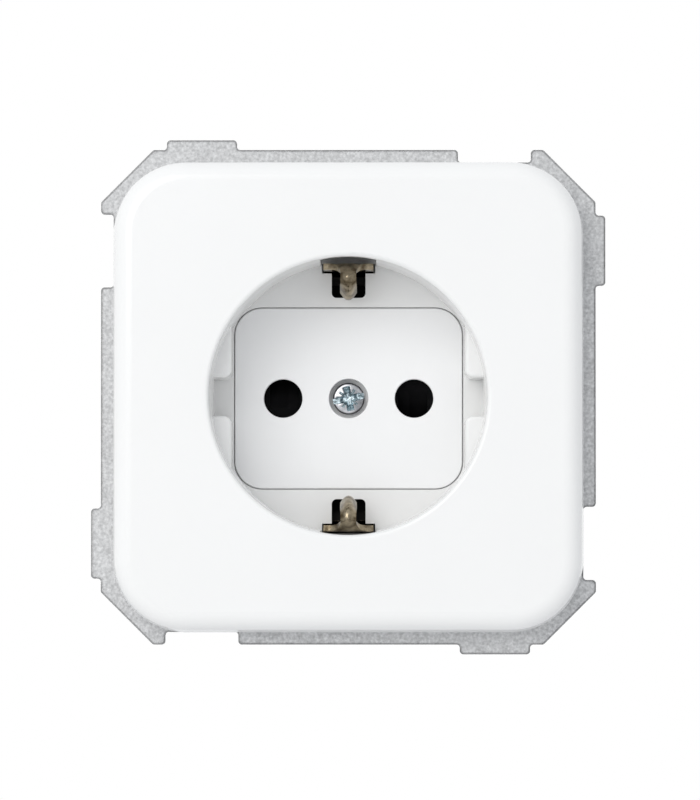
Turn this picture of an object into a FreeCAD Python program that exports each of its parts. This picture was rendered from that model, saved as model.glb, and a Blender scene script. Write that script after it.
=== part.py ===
"""Flush wall socket with side earth clips: frame, cover with its well, shutter, contacts and base.

The origin is the centre of the wall plane, which is the back face of the support frame.
+Z is up, the front of the socket faces -Y and +Y goes into the wall.  All sizes are in millimetres.
"""

import FreeCAD, Part
import math
import os
import re

import Sketcher
from FreeCAD import Placement, Rotation, Vector

DOC = FreeCAD.newDocument("WallSocket")
SHEET = DOC.addObject("Spreadsheet::Sheet", "Sizes")

SIZES = {
    # support frame, a stamped sheet with tabs and notches that hook into the next frame
    "box_pitch": 60.0,
    "frame_margin": 5.5,
    "frame_sheet": 1.0,
    "frame_corner_cut": 7.5,
    "frame_tab_inset": 9.45,
    "frame_tab_width": 10.05,
    "frame_tab_reach": 1.4,
    "frame_notch_inset": 9.25,
    "frame_notch_width": 10.5,
    "frame_notch_depth": 1.8,
    "frame_stamp_round": 0.5,
    "frame_window_gap": 0.7,
    "box_slot_width": 3.8,
    "box_slot_length": 7.0,
    # cover plate
    "cover_side": 67.5,
    "cover_corner": 10.6,
    "cover_rise": 10.0,
    "cover_wall": 2.0,
    "cover_edge_round": 2.6,
    "cover_draft": 4.0,
    "cover_web": 1.2,
    # round well that takes the plug
    "well_radius": 19.6,
    "well_depth": 17.5,
    "well_wall": 1.7,
    "well_floor_wall": 2.2,
    "well_flare": 0.24,
    "well_draft": 2.5,
    "well_lip_round": 0.6,
    # side guide ribs of the well
    "guide_rib": 2.85,
    "guide_drop": 7.0,
    "guide_slot": 5.5,
    "guide_corner": 1.1,
    "guide_edge_round": 0.5,
    # face insert in the well's floor
    "insert_side_gap": 0.25,
    "insert_end_gap": 1.5,
    "insert_corner": 4.0,
    "insert_gap": 0.12,
    "insert_rim": 1.3,
    "insert_edge_round": 0.2,
    "insert_boss_radius": 3.9,
    "ledge_width": 1.5,
    # the plug's two pins
    "pin_spacing": 19.0,
    "pin_radius": 2.4,
    "pin_hole_radius": 2.8,
    # centre screw
    "screw_recess_radius": 2.85,
    "screw_recess_depth": 2.5,
    "screw_head_radius": 2.3,
    "screw_head_height": 1.5,
    "screw_radius": 1.45,
    "screw_past_bush": 0.3,
    "screw_slot_turn": 11.0,
    # earth clips and their openings in the well
    "earth_gauge": 0.9,
    "earth_width": 7.2,
    "earth_arm_gap": 1.1,
    "earth_tongue_width": 2.5,
    "earth_contact_reach": 5.2,
    "earth_bend": 1.1,
    "clip_slot_width": 4.9,
    "clip_slot_reach": 5.0,
    "clip_slot_round": 0.7,
    "arm_slot_gap": 0.25,
    "clip_notch_width": 8.0,
    "clip_notch_cut": 0.8,
    "clip_notch_drop": 1.6,
    # shutter that closes the pin holes
    "shutter_thickness": 3.1,
    "shutter_reach": 3.4,
    "shutter_hub_radius": 6.5,
    "shutter_trail": 17.2,
    "shutter_lead": 20.5,
    "shutter_travel": 33.0,
    "shutter_step": 1.3,
    "shutter_play": 0.3,
    "shutter_bore_gap": 0.1,
    "ramp_inward": 2.3,
    "ramp_outward": 2.0,
    "ramp_floor": 0.4,
    "stop_radius": 0.9,
    "stop_inset": 1.7,
    # torsion spring of the shutter
    "spring_radius": 4.75,
    "spring_wire": 0.2,
    "spring_pitch": 0.5,
    "spring_turns": 2.0,
    "spring_facets": 14.0,
    "spring_leg": 3.6,
    # tray that closes the contact chambers
    "tray_inset": 3.8,
    "tray_arm_gap": 0.7,
    "tray_corner": 7.0,
    "tray_plate": 1.6,
    "tray_wall": 1.2,
    "tray_gap": 0.15,
    # base housing
    "base_margin": 0.7,
    "base_corner": 9.0,
    "base_back": 2.2,
    "base_edge_round": 1.2,
    "collar_wall": 2.2,
    "collar_floor": 1.5,
    "well_clearance": 0.5,
    "chamber_start": 4.7,
    "chamber_height": 10.0,
    "chamber_room": 1.7,
    # contacts
    "contact_gauge": 0.7,
    "contact_bore": 2.35,
    "contact_length": 8.6,
    "contact_mouth": 2.4,
    # terminals, each with its tail plate, clamp and screw
    "tail_inset": 6.8,
    "tail_gauge": 0.8,
    "tail_width": 13.0,
    "tail_length": 9.4,
    "wire_room": 2.0,
    "clamp_gauge": 1.0,
    "clamp_side": 9.8,
    "clamp_lip": 1.0,
    "terminal_screw_radius": 1.45,
    "terminal_head_radius": 3.0,
    "terminal_head_height": 2.0,
    "terminal_screw_reach": 2.0,
    "wire_hole_radius": 1.7,
    "wire_hole_spacing": 5.8,
    "thread_gap": 0.05,
    "pocket_gap": 0.4,
    # screws between frame and base
    "frame_screw_margin": 2.6,
    "frame_screw_radius": 1.4,
    "frame_screw_head": 2.4,
    "frame_screw_head_height": 1.4,
    "frame_screw_length": 8.0,
    # small sizes of the pieces above
    "web_rise": 3.5,
    "web_gap": 2.7,
    "screw_hole_gap": 0.25,
    "hole_edge_round": 0.15,
    "screw_head_round": 0.35,
    "screw_slot_width": 0.8,
    "screw_slot_depth": 0.6,
    "screw_cross_reach": 2.9,
    "screw_cross_width": 0.9,
    "screw_cross_depth": 1.1,
    "shutter_root": 0.8,
    "ramp_ridge": 0.65,
    "ramp_shelf": 0.8,
    "spring_gap": 0.2,
    "spring_seat_depth": 1.6,
    "stop_play": 0.05,
    "chamber_gap": 0.3,
    "channel_gap": 0.2,
    "bush_radius": 2.8,
    "bush_neck_radius": 2.1,
    "bush_length": 3.4,
    "foot_length": 6.4,
    "foot_width": 6.6,
    "rivet_radius": 1.0,
    "rivet_head_radius": 1.9,
    "rivet_head_height": 0.8,
    "rivet_head_round": 0.4,
    "earth_shoulder_drop": 11.0,
    "earth_knee_drop": 9.0,
    "earth_knee_reach": 2.3,
    "earth_knee_bend": 0.8,
    "earth_contact_drop": 14.0,
    "earth_contact_bend": 2.0,
    "earth_tail_drop": 18.6,
    "earth_tail_reach": 2.4,
    "earth_flank_drop": 2.0,
    "earth_flare": 1.6,
    "earth_nose_width": 0.6,
    "clamp_corner": 1.0,
    "terminal_slot_width": 0.9,
}

# Places along Y that several pieces share, as expressions of the sizes above.
FACE = "(-cover_rise)"
WELL_FLOOR = "(well_depth - cover_rise)"
LEDGE = f"({WELL_FLOOR} + insert_rim)"
FLOOR_BACK = f"({WELL_FLOOR} + well_floor_wall)"
SHUTTER_FRONT = f"({FLOOR_BACK} + shutter_play)"
SHUTTER_BACK = f"({SHUTTER_FRONT} + shutter_thickness)"
TRAY_FRONT = f"({SHUTTER_BACK} + shutter_play)"
TRAY_BACK = f"({TRAY_FRONT} + tray_plate)"
STRAP_BACK = f"({TRAY_BACK} + earth_gauge)"
TAIL_FRONT = f"({STRAP_BACK} + tail_gauge)"
TAIL_MIDDLE = f"({TAIL_FRONT} + tail_length / 2)"
CHAMBER_END = f"({TAIL_FRONT} + tail_length + chamber_room)"
BASE_END = f"({CHAMBER_END} + base_back)"
CAVITY_END = f"({FLOOR_BACK} + well_clearance)"
GUIDE_TOP = "(guide_drop - cover_rise)"
SCREW_SEAT = f"({WELL_FLOOR} + screw_recess_depth)"
SCREW_END = f"({STRAP_BACK} + bush_length + screw_past_bush)"
SPRING_END = f"({SHUTTER_BACK} - spring_wire)"
SLEEVE_FRONT = f"({TRAY_BACK} + 2 * contact_gauge)"
# Radii and distances that several pieces share.
TUBE_RADIUS = "(well_radius + well_wall)"
WINDOW_RADIUS = f"({TUBE_RADIUS} + frame_window_gap)"
MOUTH_RADIUS = "(well_radius + well_flare)"
GUIDE_FLAT = "(well_radius - guide_rib)"
NOTCH_RADIUS = "(well_radius + clip_notch_cut)"
ARM_RADIUS = f"({NOTCH_RADIUS} - earth_arm_gap)"
CONTACT_RADIUS = f"({ARM_RADIUS} - earth_contact_reach)"
CLIP_SLOT_START = "(well_radius - clip_slot_reach)"
INSERT_WIDTH = f"(2 * ({GUIDE_FLAT} - insert_side_gap))"
INSERT_HEIGHT = f"(2 * ({CLIP_SLOT_START} - insert_end_gap))"
PIN_PLACE = "(pin_spacing / 2)"
RAMP_RIDGE = f"({PIN_PLACE} - ramp_ridge)"
SHUTTER_RADIUS = f"({PIN_PLACE} + shutter_reach)"
STOP_CIRCLE = f"({SHUTTER_RADIUS} - stop_inset)"
TRAY_WIDTH = f"(2 * ({TUBE_RADIUS} - tray_inset))"
TRAY_HEIGHT = f"(2 * ({ARM_RADIUS} - earth_gauge - tray_arm_gap))"
WEB_PLACE = f"({TUBE_RADIUS} + web_gap)"
FRAME_SCREW_PLACE = f"(({WINDOW_RADIUS} + frame_screw_margin) / sqrt(2))"
BASE_HALF = f"({TUBE_RADIUS} + base_margin)"
TAIL_PLACE = f"({BASE_HALF} - tail_inset)"
TAIL_FACE = f"({TAIL_PLACE} + tail_gauge)"
WIRE_PLACE = f"({TAIL_FACE} + wire_room / 2)"
CLAMP_PLACE = f"({TAIL_FACE} + wire_room)"
HEAD_PLACE = f"({CLAMP_PLACE} + clamp_gauge)"
FOOT_START = f"({TAIL_PLACE} - foot_length)"
RIVET_PLACE = f"(({FOOT_START} + {TAIL_PLACE}) / 2)"

PARTS = {}
CUTS = []


def fill_sheet():
    """Write every size to the sheet, its name in column A and its value, with that alias, in column B."""
    for row, (alias, value) in enumerate(SIZES.items(), start=1):
        SHEET.set(f"A{row}", alias)
        SHEET.set(f"B{row}", str(value))
        SHEET.setAlias(f"B{row}", alias)
    DOC.recompute()


def bound(text):
    """The expression with the sheet's name before each size."""
    return re.sub(r"[a-z_]+[a-z]", lambda word: "Sizes." + word[0] if word[0] in SIZES else word[0], text)


def number(text):
    """The present value of an expression."""
    return float(SHEET.evalExpression(bound(text)))


def new_body(label):
    """An empty body that becomes the sub-part of this name."""
    body = DOC.addObject("PartDesign::Body", label)
    body.Label = label
    PARTS[label] = body
    return body


def new_sketch(body, plane="XZ", at="0"):
    """A sketch on one of the body's own planes, moved along Y for XZ, X for YZ or Z for XY."""
    sketch = body.newObject("Sketcher::SketchObject", body.Label + "_sketch")
    role = plane + "_Plane"
    support = next(item for item in body.Origin.OriginFeatures if item.Role == role)
    sketch.AttachmentSupport = (support, [""])
    sketch.MapMode = "FlatFace"
    along_normal = f"-({at})" if plane == "XZ" else at
    sketch.setExpression("AttachmentOffset.Base.z", bound(along_normal))
    return sketch


def constrain(sketch, kind, *place, value):
    """Add a measured constraint and tie it to its expression."""
    index = sketch.addConstraint(Sketcher.Constraint(kind, *place, number(value)))
    sketch.setExpression(f"Constraints[{index}]", bound(value))


def pin_point(sketch, curve, end, x, y):
    """Tie a curve's end (or a circle's centre) to a place; None leaves that coordinate free."""
    if x is not None:
        constrain(sketch, "DistanceX", -1, 1, curve, end, value=x)
    if y is not None:
        constrain(sketch, "DistanceY", -1, 1, curve, end, value=y)


def circle(sketch, radius, x="0", y="0"):
    """A circle of one radius about a place."""
    middle = Vector(number(x), number(y), 0)
    curve = sketch.addGeometry(Part.Circle(middle, Vector(0, 0, 1), number(radius)))
    constrain(sketch, "Radius", curve, value=radius)
    pin_point(sketch, curve, 3, x, y)


def polygon(sketch, corners):
    """A closed outline through (x, y) or (x, y, bend) corners; a bend is that corner's radius."""
    points = [Vector(number(corner[0]), number(corner[1]), 0) for corner in corners]
    count = len(points)
    curves = []
    for index, point in enumerate(points):
        curves.append(sketch.addGeometry(Part.LineSegment(point, points[(index + 1) % count])))
    for index, curve in enumerate(curves):
        following = curves[(index + 1) % count]
        sketch.addConstraint(Sketcher.Constraint("Coincident", curve, 2, following, 1))
    for curve, corner in zip(curves, corners):
        pin_point(sketch, curve, 1, corner[0], corner[1])
    for curve, corner in zip(curves, corners):
        if len(corner) > 2:
            round_corner(sketch, curve, 1, corner[2])


def round_corner(sketch, curve, end, bend):
    """Round the corner at a line's end, keeping the corner point that the lines are tied to."""
    sketch.solve()
    sketch.fillet(curve, end, number(bend), True, True)
    arc = max(
        index for index, shape in enumerate(sketch.Geometry) if isinstance(shape, Part.ArcOfCircle)
    )
    constrain(sketch, "Radius", arc, value=bend)


def rectangle(sketch, left, right, bottom, top, bend=None):
    """A closed rectangle between four places, with its corners rounded if a bend is given."""
    corners = [(left, bottom), (right, bottom), (right, top), (left, top)]
    if bend is not None:
        corners = [corner + (bend,) for corner in corners]
    polygon(sketch, corners)


def centred_rectangle(sketch, width, height, bend=None):
    """A closed rectangle about the origin."""
    rectangle(sketch, f"-({width}) / 2", f"({width}) / 2", f"-({height}) / 2", f"({height}) / 2", bend)


def arc_ended(sketch, lines, radii):
    """A closed outline of straight lines joined by arcs about the origin.

    lines holds, counter-clockwise, each line's start and end.  A place is (x, y), and the coordinate
    that its arc decides is the number that it is near now, which isn't tied.  radii holds, for each
    line, the radius of the arc that leads from its end to the next line's start, or None where the
    two lines share that corner.
    """
    def spot(place):
        return Vector(*[number(part) if isinstance(part, str) else part for part in place])

    def tie(curve, end, place):
        pin_point(sketch, curve, end, *[part if isinstance(part, str) else None for part in place])

    count = len(lines)
    curves = []
    for start, end in lines:
        curves.append(sketch.addGeometry(Part.LineSegment(spot(start), spot(end))))
    for index, (curve, (start, end)) in enumerate(zip(curves, lines)):
        following = curves[(index + 1) % count]
        tie(curve, 1, start)
        radius = radii[index]
        if radius is None:
            sketch.addConstraint(Sketcher.Constraint("Coincident", curve, 2, following, 1))
            continue
        tie(curve, 2, end)
        first = spot(end)
        second = spot(lines[(index + 1) % count][0])
        turn = [math.atan2(point.y, point.x) for point in (first, second)]
        full = Part.Circle(Vector(0, 0, 0), Vector(0, 0, 1), number(radius))
        arc = sketch.addGeometry(Part.ArcOfCircle(full, turn[0], turn[1]))
        sketch.addConstraint(Sketcher.Constraint("Coincident", arc, 3, -1, 1))
        sketch.addConstraint(Sketcher.Constraint("Coincident", curve, 2, arc, 1))
        sketch.addConstraint(Sketcher.Constraint("Coincident", arc, 2, following, 1))
        constrain(sketch, "Radius", arc, value=radius)


def slot(sketch, x, y, length, width, upright):
    """A slot with round ends about a place, running along the sketch's first or second axis."""
    middle = Vector(number(x), number(y), 0)
    half = (number(length) - number(width)) / 2
    radius = number(width) / 2
    along = Vector(0, half, 0) if upright else Vector(half, 0, 0)
    turn = math.pi / 2 if upright else 0
    caps = []
    for sign, start in ((1, -math.pi / 2), (-1, math.pi / 2)):
        full = Part.Circle(middle + along * sign, Vector(0, 0, 1), radius)
        caps.append(sketch.addGeometry(Part.ArcOfCircle(full, start + turn, start + turn + math.pi)))
    sides = []
    for first, second in (caps, caps[::-1]):
        begin = sketch.Geometry[first].EndPoint
        finish = sketch.Geometry[second].StartPoint
        side = sketch.addGeometry(Part.LineSegment(begin, finish))
        sketch.addConstraint(Sketcher.Constraint("Tangent", first, 2, side, 1))
        sketch.addConstraint(Sketcher.Constraint("Tangent", side, 2, second, 1))
        sides.append(side)
    constrain(sketch, "Radius", caps[0], value=f"({width}) / 2")
    reach = f"(({length}) - ({width})) / 2"
    if upright:
        pin_point(sketch, caps[0], 3, x, f"({y}) + {reach}")
        pin_point(sketch, caps[1], 3, x, f"({y}) - {reach}")
    else:
        pin_point(sketch, caps[0], 3, f"({x}) + {reach}", y)
        pin_point(sketch, caps[1], 3, f"({x}) - {reach}", y)


def pad(body, sketch, length, back=False, draft=None):
    """Add the sketch's area over a length: along its plane's normal, or the other way with back."""
    feature = body.newObject("PartDesign::Pad", body.Label + "_pad")
    feature.Profile = sketch
    feature.setExpression("Length", bound(length))
    feature.Reversed = back
    if draft is not None:
        feature.setExpression("TaperAngle", bound(draft))
    body.Tip = feature
    return feature


def pocket(body, sketch, length, front=False, draft=None):
    """Cut the sketch's area over a length: against its plane's normal, or along it with front."""
    feature = body.newObject("PartDesign::Pocket", body.Label + "_pocket")
    feature.Profile = sketch
    feature.setExpression("Length", bound(length))
    feature.Reversed = front
    if draft is not None:
        feature.setExpression("TaperAngle", bound(draft))
    body.Tip = feature
    CUTS.append(feature)
    return feature


def round_edges(body, radius, chosen):
    """Round the edges of the body so far that pass a test."""
    DOC.recompute()
    base = body.Tip
    names = [f"Edge{index}" for index, edge in enumerate(base.Shape.Edges, start=1) if chosen(edge)]
    feature = body.newObject("PartDesign::Fillet", body.Label + "_round")
    feature.Base = (base, names)
    feature.setExpression("Radius", bound(radius))
    body.Tip = feature
    return feature


def polar(body, features, count):
    """Repeat features evenly about the Y axis."""
    feature = body.newObject("PartDesign::PolarPattern", body.Label + "_turned")
    feature.Originals = features
    axis = next(item for item in body.Origin.OriginFeatures if item.Role == "Y_Axis")
    feature.Axis = (axis, [""])
    feature.Angle = 360
    feature.Occurrences = count
    body.Tip = feature
    return feature


def mirrored(body, features, plane):
    """Repeat features on the other side of one of the body's own planes."""
    feature = body.newObject("PartDesign::Mirrored", body.Label + "_mirrored")
    feature.Originals = features
    role = plane + "_Plane"
    feature.MirrorPlane = (next(item for item in body.Origin.OriginFeatures if item.Role == role), [""])
    body.Tip = feature
    return feature


def at_depth(edge, depth):
    """Whether an edge lies in the plane across Y at this depth."""
    box = edge.BoundBox
    return abs(box.YMin - depth) < 1e-4 and abs(box.YMax - depth) < 1e-4


def runs_along_y(edge):
    """Whether an edge is a straight line along Y."""
    box = edge.BoundBox
    return box.XLength < 1e-4 and box.ZLength < 1e-4


def quarter_turns(corners):
    """Corner expressions of one side, turned about the origin to all four sides."""
    outline = []
    for _ in range(4):
        outline += corners
        corners = [(f"-({corner[1]})", corner[0]) + tuple(corner[2:]) for corner in corners]
    return outline


def support_frame():
    """Stamped sheet: a pinwheel of tabs and notches, window, box slots and base screw holes."""
    body = new_body("support_frame")
    half = "(box_pitch / 2 + frame_margin)"
    notch_end = f"({half} - frame_notch_inset)"
    notch_start = f"({notch_end} - frame_notch_width)"
    tab_end = f"-({half} - frame_tab_inset)"
    tab_start = f"({tab_end} + frame_tab_width)"
    side = [
        (f"{half} - frame_corner_cut", half),
        (notch_end, half),
        (notch_end, f"{half} - frame_notch_depth"),
        (notch_start, f"{half} - frame_notch_depth"),
        (notch_start, half),
        (tab_start, half),
        (tab_start, f"{half} + frame_tab_reach"),
        (tab_end, f"{half} + frame_tab_reach"),
        (tab_end, half),
        (f"-({half} - frame_corner_cut)", half),
    ]
    outline = new_sketch(body)
    polygon(outline, quarter_turns(side))
    pad(body, outline, "frame_sheet")
    round_edges(body, "frame_stamp_round", runs_along_y)
    holes = new_sketch(body, at="-frame_sheet")
    circle(holes, WINDOW_RADIUS)
    for sign in ("", "-"):
        slot(holes, f"{sign}box_pitch / 2", "0", "box_slot_length", "box_slot_width", False)
        slot(holes, "0", f"{sign}box_pitch / 2", "box_slot_length", "box_slot_width", True)
    for sign_x in ("", "-"):
        for sign_z in ("", "-"):
            place = (f"{sign_x}{FRAME_SCREW_PLACE}", f"{sign_z}{FRAME_SCREW_PLACE}")
            circle(holes, "frame_screw_radius + 4 * thread_gap", *place)
    pocket(body, holes, "frame_sheet")


def cover():
    """One moulding: plate with a drafted skirt, webs behind it, and the well that takes the plug."""
    body = new_body("cover")
    skirt = new_sketch(body, at="-frame_sheet")
    centred_rectangle(skirt, "cover_side", "cover_side", "cover_corner")
    pad(body, skirt, "cover_rise - frame_sheet", draft="-cover_draft")
    round_edges(body, "cover_edge_round", lambda edge: at_depth(edge, number(FACE)))
    hollow = new_sketch(body, at="-frame_sheet")
    inner_side = "cover_side - 2 * cover_wall"
    centred_rectangle(hollow, inner_side, inner_side, "cover_corner - cover_wall")
    pocket(body, hollow, "cover_rise - frame_sheet - cover_wall", front=True, draft="-cover_draft")
    cover_webs(body)
    tube = new_sketch(body, at=FLOOR_BACK)
    circle(tube, TUBE_RADIUS)
    pad(body, tube, "well_depth + well_floor_wall - cover_wall / 2")
    mouth = new_sketch(body, at=FACE)
    circle(mouth, "well_radius")
    pocket(body, mouth, "guide_drop")
    guided_well(body)
    insert_opening(body)
    clip_openings(body)


def cover_webs(body):
    """Thin webs behind the plate, on both sides of the well, which stiffen the skirt."""
    webs = new_sketch(body, at="-web_rise")
    reach = "cover_side / 2 - cover_wall"
    for sign in ("", "-"):
        middle = f"{sign}{WEB_PLACE}"
        rectangle(webs, f"-({reach})", reach, f"{middle} - cover_web / 2", f"{middle} + cover_web / 2")
    pad(body, webs, "cover_rise - web_rise - cover_wall / 2")
    turned = new_sketch(body, at="-web_rise")
    for sign in ("", "-"):
        middle = f"{sign}{WEB_PLACE}"
        rectangle(turned, f"{middle} - cover_web / 2", f"{middle} + cover_web / 2", f"-({reach})", reach)
    pad(body, turned, "cover_rise - web_rise - cover_wall / 2")


def guided_well(body):
    """The well below its guide ribs: a round core with a flat at each side and a groove in each flat."""
    core = new_sketch(body, at=GUIDE_TOP)
    flat = GUIDE_FLAT
    groove = "guide_slot / 2"
    flat_end = other_leg("well_radius", flat)
    groove_end = other_leg("well_radius", groove)
    lines = [
        ((groove_end, groove), (flat, groove)),
        ((flat, groove), (flat, flat_end)),
        ((f"-{flat}", flat_end), (f"-{flat}", groove)),
        ((f"-{flat}", groove), (-groove_end, groove)),
        ((-groove_end, f"-{groove}"), (f"-{flat}", f"-{groove}")),
        ((f"-{flat}", f"-{groove}"), (f"-{flat}", -flat_end)),
        ((flat, -flat_end), (flat, f"-{groove}")),
        ((flat, f"-{groove}"), (groove_end, f"-{groove}")),
    ]
    arc_ended(core, lines, [None, "well_radius"] * 4)
    for corner in range(1, len(lines), 2):
        round_corner(core, corner, 1, "guide_corner")
    pocket(body, core, "well_depth - guide_drop")
    rib_top = number(GUIDE_TOP)
    wall = number("well_radius")

    def rib_edge(edge):
        middle = edge.valueAt((edge.FirstParameter + edge.LastParameter) / 2)
        return at_depth(edge, rib_top) and math.hypot(middle.x, middle.z) < wall - 0.01

    round_edges(body, "guide_edge_round", rib_edge)
    flare = new_sketch(body, at=FACE)
    circle(flare, MOUTH_RADIUS)
    pocket(body, flare, "guide_drop - guide_edge_round", draft="-well_draft")
    mouth = number(MOUTH_RADIUS)
    round_edges(body, "well_lip_round", lambda edge: at_depth(edge, number(FACE)) and is_round(edge, mouth))


def insert_opening(body):
    """Recess in the well's floor for the insert's rim, and the opening inside the ledge it seats on."""
    recess = new_sketch(body, at=WELL_FLOOR)
    centred_rectangle(
        recess,
        f"{INSERT_WIDTH} + 2 * insert_gap",
        f"{INSERT_HEIGHT} + 2 * insert_gap",
        "insert_corner + insert_gap",
    )
    pocket(body, recess, "insert_rim")
    opening = new_sketch(body, at=LEDGE)
    centred_rectangle(
        opening,
        f"{INSERT_WIDTH} - 2 * ledge_width",
        f"{INSERT_HEIGHT} - 2 * ledge_width",
        "insert_corner - ledge_width",
    )
    pocket(body, opening, "well_floor_wall - insert_rim")


def clip_openings(body):
    """For each earth clip a slot in the well's floor, wide where its arm passes, and a notch up the wall."""
    slots = new_sketch(body, at=WELL_FLOOR)
    notches = new_sketch(body, at=f"({FACE} + clip_notch_drop)")
    side = "clip_slot_width / 2"
    wide = "(earth_width / 2 + arm_slot_gap)"
    for sign in ("", "-"):
        inner = f"{sign}{CLIP_SLOT_START}"
        step = f"{sign}({ARM_RADIUS} - earth_gauge - arm_slot_gap)"
        outer = f"{sign}({ARM_RADIUS} + arm_slot_gap)"
        narrow = [(f"-{side}", inner, "clip_slot_round"), (side, inner, "clip_slot_round"), (side, step)]
        arm = [(wide, step), (wide, outer), (f"-{wide}", outer), (f"-{wide}", step)]
        polygon(slots, narrow + arm + [(f"-{side}", step)])
        edges = (f"{sign}(well_radius - 2 * earth_gauge)", f"{sign}{NOTCH_RADIUS}")
        rectangle(notches, "-clip_notch_width / 2", "clip_notch_width / 2", *edges)
    pocket(body, slots, "well_floor_wall")
    pocket(body, notches, "well_depth - clip_notch_drop")


def other_leg(radius, leg):
    """The second side of a right triangle whose long side is the radius."""
    return math.sqrt(number(radius) ** 2 - number(leg) ** 2)


def is_round(edge, radius):
    """Whether an edge is part of a circle of this radius."""
    return isinstance(edge.Curve, Part.Circle) and abs(edge.Curve.Radius - radius) < 1e-3


def face_insert():
    """Plate that fills the floor's recess, with the pin holes and the boss that the shutter turns on."""
    body = new_body("face_insert")
    rim = new_sketch(body, at=LEDGE)
    centred_rectangle(rim, INSERT_WIDTH, INSERT_HEIGHT, "insert_corner")
    pad(body, rim, "insert_rim")
    round_edges(body, "insert_edge_round", lambda edge: at_depth(edge, number(WELL_FLOOR)))
    centre = new_sketch(body, at=LEDGE)
    margin = "2 * (ledge_width + insert_gap)"
    centred_rectangle(
        centre,
        f"{INSERT_WIDTH} - {margin}",
        f"{INSERT_HEIGHT} - {margin}",
        "insert_corner - ledge_width - insert_gap",
    )
    pad(body, centre, "well_floor_wall - insert_rim", back=True)
    boss = new_sketch(body, at=FLOOR_BACK)
    circle(boss, "insert_boss_radius")
    pad(body, boss, f"{TRAY_FRONT} - {FLOOR_BACK}", back=True)
    openings = new_sketch(body, at=WELL_FLOOR)
    circle(openings, "pin_hole_radius", PIN_PLACE)
    circle(openings, "pin_hole_radius", f"-{PIN_PLACE}")
    pocket(body, openings, "well_floor_wall")
    recess = new_sketch(body, at=WELL_FLOOR)
    circle(recess, "screw_recess_radius")
    pocket(body, recess, "screw_recess_depth")
    bore = new_sketch(body, at=SCREW_SEAT)
    circle(bore, "screw_radius + screw_hole_gap")
    pocket(body, bore, f"{TRAY_FRONT} - {SCREW_SEAT}")
    hole_edges = (number("pin_hole_radius"), number("screw_recess_radius"))
    round_edges(
        body,
        "hole_edge_round",
        lambda edge: at_depth(edge, number(WELL_FLOOR)) and any(is_round(edge, r) for r in hole_edges),
    )


def centre_screw():
    """Pan head screw with a cross and a slot in its head, turned as it was left after tightening."""
    body = new_body("centre_screw")
    head = new_sketch(body, at=SCREW_SEAT)
    circle(head, "screw_head_radius")
    pad(body, head, "screw_head_height")
    top = f"({SCREW_SEAT} - screw_head_height)"
    round_edges(body, "screw_head_round", lambda edge: at_depth(edge, number(top)))
    shank = new_sketch(body, at=SCREW_SEAT)
    circle(shank, "screw_radius")
    pad(body, shank, f"{SCREW_END} - {SCREW_SEAT}", back=True)
    slot_cut = new_sketch(body, at=top)
    centred_rectangle(slot_cut, "3 * screw_head_radius", "screw_slot_width")
    pocket(body, slot_cut, "screw_slot_depth")
    cross = ("screw_cross_reach", "screw_cross_width")
    for width, height in (cross, cross[::-1]):
        arm = new_sketch(body, at=top)
        centred_rectangle(arm, width, height)
        pocket(body, arm, "screw_cross_depth")
    body.Placement = Placement(Vector(), Rotation(Vector(0, 1, 0), 0))
    body.setExpression("Placement.Rotation.Angle", bound("360 - screw_slot_turn"))


def shutter():
    """Rotor that closes both pin holes; the ramps under the holes turn it aside as the pins push in."""
    body = new_body("shutter")
    hub = new_sketch(body, at=SHUTTER_BACK)
    circle(hub, "shutter_hub_radius")
    pad(body, hub, "shutter_thickness")
    arm = new_sketch(body, at=SHUTTER_BACK)
    root = "(shutter_hub_radius - shutter_root)"
    trail = "-shutter_trail"
    lead = "shutter_lead"
    root_trail = (f"{root} * cos({trail})", f"{root} * sin({trail})")
    root_lead = (f"{root} * cos({lead})", f"{root} * sin({lead})")
    tip_trail = (f"{SHUTTER_RADIUS} * cos({trail})", number(f"{SHUTTER_RADIUS} * sin({trail})"))
    tip_lead = (f"{SHUTTER_RADIUS} * cos({lead})", number(f"{SHUTTER_RADIUS} * sin({lead})"))
    lines = [(root_trail, tip_trail), (tip_lead, root_lead), (root_lead, root_trail)]
    arc_ended(arm, lines, [SHUTTER_RADIUS, None, None])
    arm_pad = pad(body, arm, "shutter_thickness")
    ramps = []
    for outer, inner, floor in (
        (f"({PIN_PLACE} + ramp_outward)", RAMP_RIDGE, "ramp_floor"),
        (RAMP_RIDGE, f"({PIN_PLACE} - ramp_inward)", "ramp_floor + ramp_shelf"),
    ):
        ramp = new_sketch(body, plane="YZ", at=outer)
        low = "-(pin_hole_radius + shutter_step)"
        high_side = (SHUTTER_FRONT, "shutter_step")
        foot = (f"{SHUTTER_BACK} - ({floor})", low)
        polygon(ramp, [high_side, (SHUTTER_FRONT, low), foot])
        ramps.append(pocket(body, ramp, f"{outer} - {inner}"))
    polar(body, [arm_pad] + ramps, 2)
    bore = new_sketch(body, at=SHUTTER_FRONT)
    circle(bore, "insert_boss_radius + shutter_bore_gap")
    pocket(body, bore, "shutter_thickness")
    seat = new_sketch(body, at=SHUTTER_BACK)
    circle(seat, "spring_radius + spring_wire + spring_gap")
    pocket(body, seat, "spring_seat_depth", front=True)
    leg_slot = new_sketch(body, at=SHUTTER_BACK)
    half = "(spring_wire + spring_gap)"
    rectangle(leg_slot, f"spring_radius - {half}", f"spring_radius + {half}", "0", f"spring_leg + {half}")
    pocket(body, leg_slot, "spring_seat_depth", front=True)


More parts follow.
